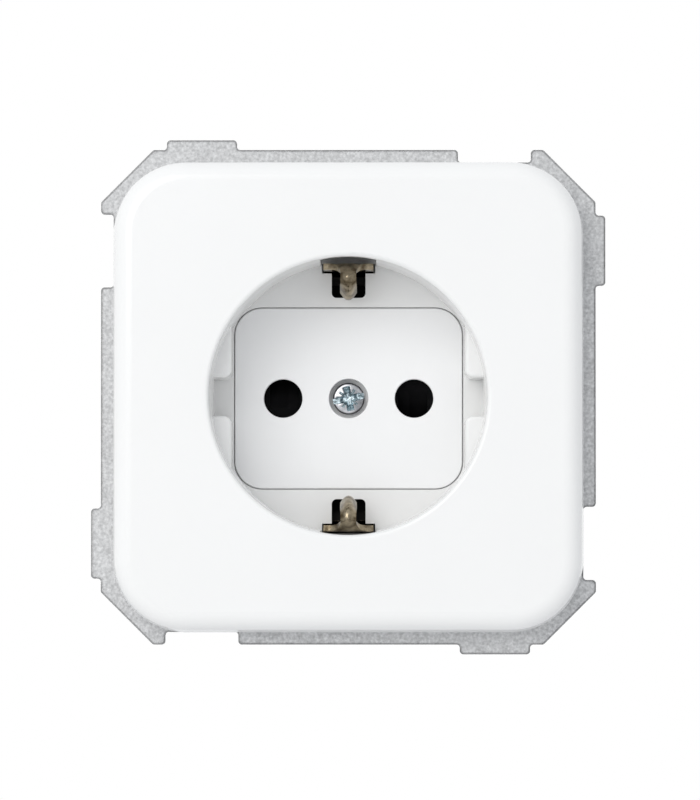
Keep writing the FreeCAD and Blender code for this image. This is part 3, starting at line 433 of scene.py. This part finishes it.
def choose(piece: bpy.types.Object, wanted: Callable[[bmesh.types.BMVert], bool]) -> None:
    """Select, in edit mode, the vertices that a test names, and nothing else.

    Args:
        piece: the object in edit mode.
        wanted: the test.
    """
    bpy.ops.mesh.select_mode(type="VERT")
    bpy.ops.mesh.select_all(action="DESELECT")
    shape = bmesh.from_edit_mesh(piece.data)
    for vertex in shape.verts:
        vertex.select = wanted(vertex)
    shape.select_flush(True)
    bmesh.update_edit_mesh(piece.data)


def finish_with(piece: bpy.types.Object, kind: str, **settings: object) -> None:
    """Add a modifier, set it and apply it.

    Args:
        piece: the object that gets it.
        kind: the modifier's type.
        settings: the modifier's own settings.
    """
    pick(piece)
    modifier = piece.modifiers.new(kind.title(), kind)
    for name, value in settings.items():
        setattr(modifier, name, value)
    bpy.ops.object.modifier_apply(modifier=modifier.name)


def apply_place(piece: bpy.types.Object) -> None:
    """Put the object's place, turn and scale into its mesh.

    Args:
        piece: the object.
    """
    pick(piece)
    bpy.ops.object.transform_apply(location=True, rotation=True, scale=True)


def cut_with(piece: bpy.types.Object, cutter: bpy.types.Object) -> None:
    """Cut one object's shape out of another and delete the cutter.

    Args:
        piece: the object that is cut.
        cutter: the closed shape that is taken away.
    """
    settings = {"operation": "DIFFERENCE", "solver": "EXACT", "object": cutter, "material_mode": "TRANSFER"}
    finish_with(piece, "BOOLEAN", **settings)
    bpy.data.objects.remove(cutter, do_unlink=True)


def round_off(piece: bpy.types.Object, width: float, segments: int, degrees: float) -> None:
    """Round the edges that are sharper than an angle.

    Args:
        piece: the object.
        width: the rounding's width.
        segments: how many faces it has across.
        degrees: the angle.
    """
    sharp = math.radians(degrees)
    finish_with(piece, "BEVEL", width=width, segments=segments, limit_method="ANGLE", angle_limit=sharp)


def smooth(piece: bpy.types.Object, degrees: float) -> None:
    """Shade smooth, with edges sharper than an angle kept.

    Args:
        piece: the object.
        degrees: the angle.
    """
    pick(piece)
    bpy.ops.object.shade_smooth_by_angle(angle=math.radians(degrees))


@dataclass(frozen=True)
class Bend:
    """A corner of a bent strip's middle line, in millimetres.

    The radius is what the corner is bent to, and rows is how many steps the straight before it is made of.
    """

    depth: float
    height: float
    radius: float = 0.0
    rows: int = 1


@dataclass(frozen=True)
class Station:
    """A place along a bent strip.

    The spot is its (depth, height) in metres, the heading is in radians, and the corner is the number of the
    next one.
    """

    spot: Vector
    heading: float
    corner: int


def bent_line(corners: tuple[Bend, ...], steps: int) -> list[Station]:
    """Places along a bent strip's middle line.

    Args:
        corners: the line's corners.
        steps: how many steps each bend is made of.

    Returns:
        The places, from the line's start to its end.
    """
    spots = [Vector((corner.depth, corner.height)) * MM for corner in corners]
    headings = []
    for first, second in zip(spots, spots[1:]):
        run = second - first
        headings.append(math.atan2(run.y, run.x))
    headings.append(headings[-1])
    line = [Station(spots[0], headings[0], 0)]
    for number, corner in enumerate(corners[1:], start=1):
        before, after = headings[number - 1], headings[number]
        turn = math.remainder(after - before, math.tau)
        forward = Vector((math.cos(before), math.sin(before)))
        entry = spots[number] - forward * corner.radius * MM * math.tan(abs(turn) / 2)
        leave = line[-1].spot
        for row in range(1, corner.rows + 1):
            line.append(Station(leave.lerp(entry, row / corner.rows), before, number))
        if not turn:
            continue
        side = math.copysign(1.0, turn)
        centre = entry + Vector((-forward.y, forward.x)) * side * corner.radius * MM
        for step in range(1, steps + 1):
            heading = before + turn * step / steps
            out = Vector((math.sin(heading), -math.cos(heading))) * side * corner.radius * MM
            line.append(Station(centre + out, heading, number))
    return line


@dataclass
class EarthStrap:
    """The bent earth strap: flat middle, an arm at each end and the sprung tongue that touches the plug.

    The arm narrows to the tongue in a hollow curve past its neck, where a ridge starts in its middle that
    makes the tongue half round.
    """

    width: float = 7.2 * MM
    gauge: float = 0.9 * MM
    tongue: float = 2.5 * MM
    flare: float = 2.5 * MM
    ridge: float = 0.5 * MM
    crown: float = 0.85 * MM
    rounding: float = 2.4 * MM
    middle: float = 4.0 * MM
    columns: int = 12
    steps: int = 8
    neck: int = 2
    bush_hole: float = 2.15 * MM
    rivet_hole: float = 1.05 * MM
    rivet_height: float = -12.0 * MM
    drill: float = 3.0 * MM
    merge: float = 0.01 * MM
    edge_round: float = 0.16 * MM
    corners: tuple[Bend, ...] = (
        Bend(15.45, 0.0),
        Bend(15.45, 18.85, 1.1),
        Bend(1.55, 18.85),
        Bend(1.0, 18.85, 1.1),
        Bend(-0.8, 17.05, 0.8, 6),
        Bend(4.0, 15.25, 2.0, 6),
        Bend(8.6, 17.1, 0.0, 3),
    )

    def build(self) -> bpy.types.Object:
        """Model the strap and put it in the place of its solid.

        Returns:
            The finished piece.
        """
        piece = self._half()
        bpy.ops.mesh.select_all(action="SELECT")
        bpy.ops.mesh.duplicate()
        bpy.ops.transform.resize(value=(1.0, 1.0, -1.0), center_override=(0.0, 0.0, 0.0))
        bpy.ops.mesh.select_all(action="SELECT")
        bpy.ops.mesh.remove_doubles(threshold=self.merge)
        bpy.ops.mesh.normals_make_consistent(inside=False)
        bpy.ops.object.mode_set(mode="OBJECT")
        # The strap takes the finish with the painted dark reflection.
        piece.data.materials.append(CLIP_NICKEL_REFLECTION.material())
        finish_with(piece, "SOLIDIFY", thickness=self.gauge, offset=0.0)
        self._cut_hole(piece, self.bush_hole, 0.0)
        self._cut_hole(piece, self.rivet_hole, self.rivet_height)
        round_off(piece, self.edge_round, segments=3, degrees=50.0)
        smooth(piece, degrees=40.0)
        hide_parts("earth_bracket")
        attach(piece, "socket")
        return piece

    def _cut_hole(self, piece: bpy.types.Object, radius: float, height: float) -> None:
        """Cut a round hole through the strap's flat middle.

        Args:
            piece: the strap.
            radius: the hole's radius.
            height: the height of its middle.
        """
        deselect()
        bpy.ops.mesh.primitive_cylinder_add(
            vertices=40,
            radius=radius,
            depth=self.drill,
            location=(0.0, self.corners[0].depth * MM, height),
            rotation=(math.pi / 2, 0.0, 0.0),
        )
        cutter = bpy.context.object
        # The hole walls take the same painted reflection finish.
        cutter.data.materials.append(CLIP_NICKEL_REFLECTION.material())
        cut_with(piece, cutter)

    def _half(self) -> bpy.types.Object:
        """Draw the strap's upper half out of a flat grid, as a sheet with no thickness yet.

        Returns:
            The piece, still in edit mode.
        """
        line = bent_line(self.corners, self.steps)
        deselect()
        bpy.ops.mesh.primitive_grid_add(
            x_subdivisions=self.columns,
            y_subdivisions=1,
            size=1.0,
            location=(0.0, line[0].spot.x, self.middle / 2),
            rotation=(math.pi / 2, 0.0, 0.0),
        )
        piece = bpy.context.object
        piece.name = "earth_strap"
        piece.scale = (self.width, self.middle, 1.0)
        apply_place(piece)
        bpy.ops.object.mode_set(mode="EDIT")
        choose(piece, lambda vertex: vertex.co.z > 0.9 * self.middle)
        last = Vector((line[0].spot.x, self.middle))
        heading = line[0].heading
        run = 0.0
        width = self.width
        crown = 0.0
        for station in line[1:]:
            step = station.spot - last
            bpy.ops.mesh.extrude_region_move(TRANSFORM_OT_translate={"value": (0.0, step.x, step.y)})
            turn = math.remainder(station.heading - heading, math.tau)
            middle = (0.0, station.spot.x, station.spot.y)
            bpy.ops.transform.rotate(value=-turn, orient_axis="X", center_override=middle)
            heading = station.heading
            last = station.spot
            if station.corner <= self.neck:
                continue
            run += step.length
            next_width = self._width(run)
            bpy.ops.transform.resize(value=(next_width / width, 1.0, 1.0), center_override=middle)
            width = next_width
            next_crown = self._crown(run)
            self._raise(piece, width, next_crown - crown, heading)
            crown = next_crown
        return piece

    def _width(self, run: float) -> float:
        """The strip's width past its arm, which narrows to the tongue in a hollow curve.

        Args:
            run: the distance along the strip from the arm's neck.

        Returns:
            The width of the sheet's middle there, less than the piece's by what its sloping edges add.
        """
        left = max(0.0, 1.0 - run / self.flare)
        full = self.tongue + (self.width - self.tongue) * (1.0 - math.sqrt(1.0 - left**2))
        slope = 4.0 * self._crown(run) / (self.tongue - 0.7 * self.gauge)
        return full - self.gauge * slope / math.hypot(1.0, slope)

    def _crown(self, run: float) -> float:
        """How high the strip's middle stands over its edges.

        Args:
            run: the distance along the strip from the arm's neck.

        Returns:
            The height, which grows to the ridge's and then to the tongue's.
        """
        up = min(1.0, run / self.flare)
        on = min(1.0, max(0.0, (run - self.flare) / self.rounding))
        return self.ridge * up + (self.crown - self.ridge) * on * on * (3.0 - 2.0 * on)

    def _raise(self, piece: bpy.types.Object, width: float, rise: float, heading: float) -> None:
        """Crown the row that was drawn last, its middle most and what lies outside the tongue not at all.

        Args:
            piece: the strap in edit mode, with that row selected.
            width: the row's width.
            rise: how much the middle is raised.
            heading: the strip's heading at the row.
        """
        if rise < TOUCH / 10:
            return
        shape = bmesh.from_edit_mesh(piece.data)
        row = {vertex.index for vertex in shape.verts if vertex.select}
        for column in range(self.columns // 2):
            across = column / self.columns * width
            share = 1.0 - (2.0 * across / min(width, self.tongue)) ** 2
            if share <= 0.0:
                break

            def in_column(vertex: bmesh.types.BMVert) -> bool:
                return vertex.index in row and abs(abs(vertex.co.x) - across) < width / 50

            choose(piece, in_column)
            lift = rise * share
            bpy.ops.transform.translate(value=(0.0, math.sin(heading) * lift, -math.cos(heading) * lift))
        choose(piece, lambda vertex: vertex.index in row)


@dataclass(frozen=True)
class Bar:
    """A tapered bar that is cut out of the screw's head, in millimetres.

    The turn is against the slot, in degrees, and the foot is its size at the bottom against that at the top.
    """

    length: float
    width: float
    depth: float
    turn: float
    foot: float


@dataclass
class CentreScrew:
    """The screw in the middle of the insert: domed head, cross recess with its four points, and slot."""

    seat: float = 10.0 * MM
    head_radius: float = 2.3 * MM
    head_height: float = 1.5 * MM
    shank_radius: float = 1.45 * MM
    end: float = 19.6 * MM
    turned: float = 11.0
    rim_round: float = 0.4 * MM
    rim_width: float = 0.7 * MM
    rim_rise: float = 0.12 * MM
    dome_width: float = 0.6 * MM
    dome_rise: float = 0.05 * MM
    point: float = 0.5 * MM
    point_share: float = 0.72
    edge_round: float = 0.05 * MM
    # Width of the head's rim that takes the painted shade.
    shade_band: float = 0.16 * MM
    bars: tuple[Bar, ...] = (
        Bar(length=5.2, width=0.82, depth=0.62, turn=0.0, foot=0.94),
        Bar(length=3.6, width=1.05, depth=1.2, turn=0.0, foot=0.45),
        Bar(length=3.6, width=1.05, depth=1.2, turn=90.0, foot=0.45),
        Bar(length=3.1, width=0.4, depth=0.7, turn=45.0, foot=0.4),
        Bar(length=3.1, width=0.4, depth=0.7, turn=135.0, foot=0.4),
    )

    def build(self) -> bpy.types.Object:
        """Model the screw and put it in the place of its solid.

        Returns:
            The finished piece.
        """
        piece = self._head()
        self._draw_shank(piece)
        bpy.ops.object.mode_set(mode="OBJECT")
        for bar in self.bars:
            cut_with(piece, self._cutter(bar))
        round_off(piece, self.edge_round, segments=2, degrees=40.0)
        smooth(piece, degrees=35.0)
        # Painted shade on the head's rim and the shank.
        self._paint_side_shade(piece)
        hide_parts("centre_screw")
        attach(piece, "socket")
        return piece

    def _head(self) -> bpy.types.Object:
        """Shape the domed head from a disc.

        Returns:
            The piece, still in edit mode.
        """
        deselect()
        middle = self.seat - self.head_height / 2
        bpy.ops.mesh.primitive_cylinder_add(
            vertices=72,
            radius=self.head_radius,
            depth=self.head_height,
            location=(0.0, middle, 0.0),
            rotation=(math.pi / 2, 0.0, 0.0),
        )
        piece = bpy.context.object
        piece.name = "centre_screw_head"
        apply_place(piece)
        # The head takes the zinc with the painted sheen patches.
        piece.data.materials.append(SCREW_ZINC_SHEEN.material())
        bpy.ops.object.mode_set(mode="EDIT")
        choose(piece, lambda vertex: vertex.co.y < middle)
        bpy.ops.mesh.bevel(offset=self.rim_round, segments=5)
        choose(piece, lambda vertex: vertex.co.y < self.seat - self.head_height + TOUCH)
        bpy.ops.mesh.inset(thickness=self.rim_width)
        bpy.ops.transform.translate(value=(0.0, -self.rim_rise, 0.0))
        bpy.ops.mesh.inset(thickness=self.dome_width)
        bpy.ops.transform.translate(value=(0.0, -self.dome_rise, 0.0))
        return piece

    def _draw_shank(self, piece: bpy.types.Object) -> None:
        """Draw the plain shank and its pointed end out of the head's back.

        Args:
            piece: the screw in edit mode.
        """
        choose(piece, lambda vertex: vertex.co.y > self.seat - TOUCH)
        bpy.ops.mesh.inset(thickness=self.head_radius - self.shank_radius)
        shank = self.end - self.seat - self.point
        bpy.ops.mesh.extrude_region_move(TRANSFORM_OT_translate={"value": (0.0, shank, 0.0)})
        bpy.ops.mesh.extrude_region_move(TRANSFORM_OT_translate={"value": (0.0, self.point, 0.0)})
        narrower = (self.point_share, 1.0, self.point_share)
        bpy.ops.transform.resize(value=narrower, center_override=(0.0, self.end, 0.0))

    def _paint_side_shade(self, piece: bpy.types.Object) -> None:
        """Paint the steep rim of the head and the shank near black: painted shade that draws the dark line
        round the head.

        Args:
            piece: the screw.
        """
        piece.data.materials.append(SCREW_SIDE_SHADE.material())
        shade_slot = len(piece.data.materials) - 1
        rim = self.head_radius - self.shade_band
        for face in piece.data.polygons:
            if math.hypot(face.center.x, face.center.z) > rim or face.center.y > self.seat:
                face.material_index = shade_slot

    def _cutter(self, bar: Bar) -> bpy.types.Object:
        """Model a bar that stands half out of the head, to cut the head with.

        Args:
            bar: its sizes and its turn.

        Returns:
            The cutter, closed and in its place.
        """
        deselect()
        top = self.seat - self.head_height
        depth = bar.depth * MM
        bpy.ops.mesh.primitive_cube_add(size=1.0, location=(0.0, top, 0.0))
        cutter = bpy.context.object
        cutter.scale = (bar.length * MM, 2.0 * depth, bar.width * MM)
        apply_place(cutter)
        bpy.ops.object.mode_set(mode="EDIT")
        bpy.ops.mesh.subdivide(number_cuts=1)
        choose(cutter, lambda vertex: vertex.co.y > top + depth / 2)
        bpy.ops.transform.resize(value=(bar.foot, 1.0, bar.foot), center_override=(0.0, top, 0.0))
        bpy.ops.object.mode_set(mode="OBJECT")
        cutter.rotation_euler = (0.0, math.radians(-self.turned - bar.turn), 0.0)
        apply_place(cutter)
        # The recess walls take the painted glint finish.
        cutter.data.materials.append(SCREW_RECESS_GLINT.material())
        return cutter


@dataclass
class TorsionSpring:
    """The spring that turns the shutter back: its front leg is in the shutter, its back leg in the tray."""

    radius: float = 4.75 * MM
    wire: float = 0.2 * MM
    front: float = 11.9 * MM
    height: float = 1.0 * MM
    turns: float = 2.0
    steps: int = 64
    bend_steps: int = 6
    leg: float = 3.6 * MM
    bend: float = 0.35 * MM
    leg_end: float = 14.1 * MM

    def build(self) -> bpy.types.Object:
        """Model the spring and put it in the place of its solid.

        Returns:
            The finished piece.
        """
        deselect()
        place = (self.radius, self.front, 0.0)
        bpy.ops.mesh.primitive_circle_add(vertices=12, radius=self.wire, location=place)
        piece = bpy.context.object
        piece.name = "torsion_spring"
        apply_place(piece)
        bpy.ops.object.mode_set(mode="EDIT")
        bpy.ops.mesh.select_all(action="SELECT")
        sweep = (self.turns * math.tau - self.bend / self.radius) / self.steps
        rise = self.height / self.steps
        for _ in range(self.steps):
            bpy.ops.mesh.extrude_region_move(TRANSFORM_OT_translate={"value": (0.0, rise, 0.0)})
            bpy.ops.transform.rotate(value=-sweep, orient_axis="Y", center_override=(0.0, 0.0, 0.0))
        back = self.front + self.height
        turn = math.pi / 2 / self.bend_steps
        for _ in range(self.bend_steps):
            bpy.ops.mesh.extrude_region_move(TRANSFORM_OT_translate={"value": (0.0, 0.0, 0.0)})
            middle = (self.radius, back + self.bend, self.bend)
            bpy.ops.transform.rotate(value=-turn, orient_axis="X", center_override=middle)
        straight = self.leg_end - back - self.bend
        bpy.ops.mesh.extrude_region_move(TRANSFORM_OT_translate={"value": (0.0, straight, 0.0)})
        bpy.ops.mesh.edge_face_add()
        choose(piece, self._at_front)
        bpy.ops.mesh.extrude_region_move(TRANSFORM_OT_translate={"value": (0.0, 0.0, self.leg)})
        bpy.ops.mesh.edge_face_add()
        bpy.ops.mesh.select_all(action="SELECT")
        bpy.ops.mesh.normals_make_consistent(inside=False)
        bpy.ops.object.mode_set(mode="OBJECT")
        smooth(piece, degrees=50.0)
        piece.data.materials.append(SPRING_STEEL.material())
        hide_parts("shutter_spring")
        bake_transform(piece)
        return piece

    def _at_front(self, vertex: bmesh.types.BMVert) -> bool:
        """Tell whether a vertex belongs to the ring at the coil's front end."""
        return abs(vertex.co.y - self.front) < 1.5 * self.wire and abs(vertex.co.z) < TOUCH


@dataclass
class Studio:
    """Floor, world light, key lamp and the camera at the photograph's angle."""

    distance: float = 0.785
    azimuth: float = 0.3
    elevation: float = -1.36
    aim: tuple[float, float, float] = (0.00024, 0.0, -0.0004)
    lens: float = 245.8
    floor_depth: float = 0.30
    floor_side: float = 4.0
    floor_tone: float = 0.86
    floor_roughness: float = 0.8
    sensor: float = 36.0
    nearest: float = 0.01
    sky_tint: tuple[float, float, float] = (0.95, 0.97, 1.0)
    white_from: tuple[float, float] = (-0.1, 0.3)
    bright_side: tuple[float, float, float] = (-0.45, -0.5, 0.75)
    light_range: tuple[float, float] = (0.51, 0.93)
    key_place: tuple[float, float, float] = (-0.375, -0.86, 0.335)
    key_side: float = 0.62
    key_power: float = 3.24
    key_tint: tuple[float, float, float] = (1.0, 0.985, 0.955)

    def build(self) -> None:
        """Make the floor, the light and the camera."""
        bpy.context.scene.view_settings.view_transform = "Standard"
        self._floor()
        self._world()
        self._key_lamp()
        self._camera()

    def _floor(self) -> None:
        """Add a plain pale floor well below the socket."""
        deselect()
        bpy.ops.mesh.primitive_plane_add(size=self.floor_side, location=(0.0, 0.0, -self.floor_depth))
        floor = bpy.context.object
        floor.name = "floor"
        material = bpy.data.materials.new("pale_floor")
        material.use_nodes = True
        shader = material.node_tree.nodes["Principled BSDF"]
        shader.inputs["Base Color"].default_value = (self.floor_tone, self.floor_tone, self.floor_tone, 1.0)
        shader.inputs["Roughness"].default_value = self.floor_roughness
        floor.data.materials.append(material)

    def _world(self) -> None:
        """White behind the socket, and before it a wide soft light that is brighter at the upper left."""
        world = bpy.data.worlds.new("soft_box")
        bpy.context.scene.world = world
        world.use_nodes = True
        nodes = world.node_tree.nodes
        links = world.node_tree.links
        place = nodes.new("ShaderNodeTexCoord")
        light = nodes["Background"]
        light.inputs["Color"].default_value = (*self.sky_tint, 1.0)
        links.new(self._level(world, place).outputs["Result"], light.inputs["Strength"])
        white = nodes.new("ShaderNodeBackground")
        white.inputs["Color"].default_value = (1.0, 1.0, 1.0, 1.0)
        mixed = nodes.new("ShaderNodeMixShader")
        links.new(self._seen(world, place), mixed.inputs[0])
        links.new(light.outputs[0], mixed.inputs[1])
        links.new(white.outputs[0], mixed.inputs[2])
        links.new(mixed.outputs[0], nodes["World Output"].inputs["Surface"])

    def _level(self, world: bpy.types.World, place: bpy.types.Node) -> bpy.types.Node:
        """Make the world's light stronger towards its bright side.

        Args:
            world: the world whose node tree gets the nodes.
            place: the node that gives the direction.

        Returns:
            The node whose result is the light's strength.
        """
        nodes = world.node_tree.nodes
        links = world.node_tree.links
        towards = nodes.new("ShaderNodeVectorMath")
        towards.operation = "DOT_PRODUCT"
        towards.inputs[1].default_value = Vector(self.bright_side).normalized()
        links.new(place.outputs["Generated"], towards.inputs[0])
        level = nodes.new("ShaderNodeMapRange")
        level.inputs["From Min"].default_value = -1.0
        level.inputs["From Max"].default_value = 1.0
        level.inputs["To Min"].default_value = self.light_range[0]
        level.inputs["To Max"].default_value = self.light_range[1]
        links.new(towards.outputs["Value"], level.inputs["Value"])
        return level

    def _seen(self, world: bpy.types.World, place: bpy.types.Node) -> bpy.types.NodeSocket:
        """Tell which rays meet the plain white: the camera's, those through glass, and mirrored ones behind.

        Args:
            world: the world whose node tree gets the nodes.
            place: the node that gives the direction.

        Returns:
            The output that gives the white's share.
        """
        nodes = world.node_tree.nodes
        links = world.node_tree.links
        path = nodes.new("ShaderNodeLightPath")
        parts = nodes.new("ShaderNodeSeparateXYZ")
        links.new(place.outputs["Generated"], parts.inputs[0])
        behind = nodes.new("ShaderNodeMapRange")
        behind.inputs["From Min"].default_value = self.white_from[0]
        behind.inputs["From Max"].default_value = self.white_from[1]
        links.new(parts.outputs["Y"], behind.inputs["Value"])
        share = behind.outputs["Result"]
        for kind, operation in (("Glossy", "MULTIPLY"), ("Transmission", "MAXIMUM"), ("Camera", "MAXIMUM")):
            joined = nodes.new("ShaderNodeMath")
            joined.operation = operation
            links.new(path.outputs[f"Is {kind} Ray"], joined.inputs[0])
            links.new(share, joined.inputs[1])
            share = joined.outputs[0]
        return share

    def _key_lamp(self) -> None:
        """Add the square area lamp at the upper left, which faces the socket."""
        lamp = bpy.data.lights.new("key", "AREA")
        lamp.size = self.key_side
        lamp.energy = self.key_power
        lamp.color = self.key_tint
        holder = bpy.data.objects.new("key", lamp)
        bpy.context.scene.collection.objects.link(holder)
        holder.location = self.key_place
        holder.rotation_mode = "QUATERNION"
        holder.rotation_quaternion = (-Vector(self.key_place)).to_track_quat("-Z", "Y")

    def _camera(self) -> None:
        """Add the camera: a long lens, from a little below and right of the socket's axis."""
        turn = math.radians(self.azimuth)
        rise = math.radians(self.elevation)
        back = Vector((math.sin(turn) * math.cos(rise), -math.cos(turn) * math.cos(rise), math.sin(rise)))
        lens = bpy.data.cameras.new("camera")
        lens.lens = self.lens
        lens.sensor_width = self.sensor
        lens.clip_start = self.nearest
        camera = bpy.data.objects.new("camera", lens)
        bpy.context.scene.collection.objects.link(camera)
        camera.location = Vector(self.aim) + back * self.distance
        camera.rotation_mode = "QUATERNION"
        camera.rotation_quaternion = (-back).to_track_quat("-Z", "Y")
        bpy.context.scene.camera = camera


def main() -> None:
    """Build the socket's pieces in order and light them."""
    logging.basicConfig(level=logging.INFO)
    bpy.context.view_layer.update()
    plain = PlainNodes()
    plain.dress()
    LOG.info("dressed %d nodes", len(plain.finishes))
    for maker in (EarthStrap(), CentreScrew(), TorsionSpring()):
        piece = maker.build()
        LOG.info("built %s with %d faces", piece.name, len(piece.data.polygons))
    Studio().build()
    LOG.info("studio ready")


if __name__ == "__main__":
    main()
